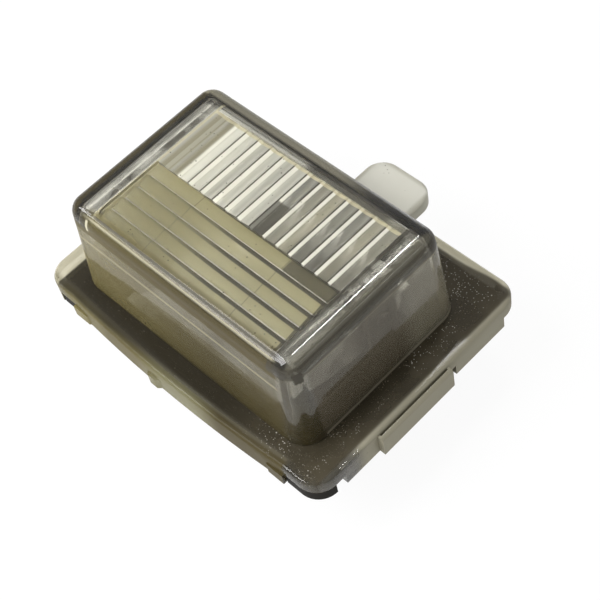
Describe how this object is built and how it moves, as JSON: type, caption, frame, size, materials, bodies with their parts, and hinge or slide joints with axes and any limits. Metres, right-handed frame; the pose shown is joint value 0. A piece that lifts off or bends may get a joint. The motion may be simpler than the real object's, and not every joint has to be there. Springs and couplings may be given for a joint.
{
  "type": "number plate lamp",
  "caption": "Clip-in number plate lamp: clear domed lens with flutes and prisms over a bright tray and festoon bulb, on a dark base with a plug socket behind.",
  "frame": {"origin": "bottom centre of the lamp's box, on the plane that it rests on with its dome up", "axes": "+X along the lamp, +Y towards the finger tab, +Z out through the dome"},
  "size_m": [0.0662, 0.0554, 0.0366],
  "materials": {
    "clear_lens": "clear moulded plastic, yellowed and dirty",
    "black_plastic": "moulded, dusty",
    "seal_rubber": "soft moulded rubber",
    "bright_tray": "metallised plastic",
    "bulb_glass": "clear blown glass",
    "cap_metal": "plated sheet",
    "filament_wire": "drawn wire",
    "contact_brass": "tinned spring brass",
    "rivet_brass": "plain brass",
    "spring_steel": "plated spring steel"
  },
  "bodies": {
    "root": {"lens": "clear_lens", "base_housing": "black_plastic", "lens_seal": "seal_rubber", "reflector_tray": "bright_tray", "bulb_glass": "bulb_glass", "bulb_cap_left": "cap_metal", "bulb_cap_right": "cap_metal", "bulb_filament": "filament_wire", "contact_left": "contact_brass", "contact_right": "contact_brass", "contact_rivet_left": "rivet_brass", "contact_rivet_right": "rivet_brass", "retaining_spring": "spring_steel"}
  },
  "joints": []
}
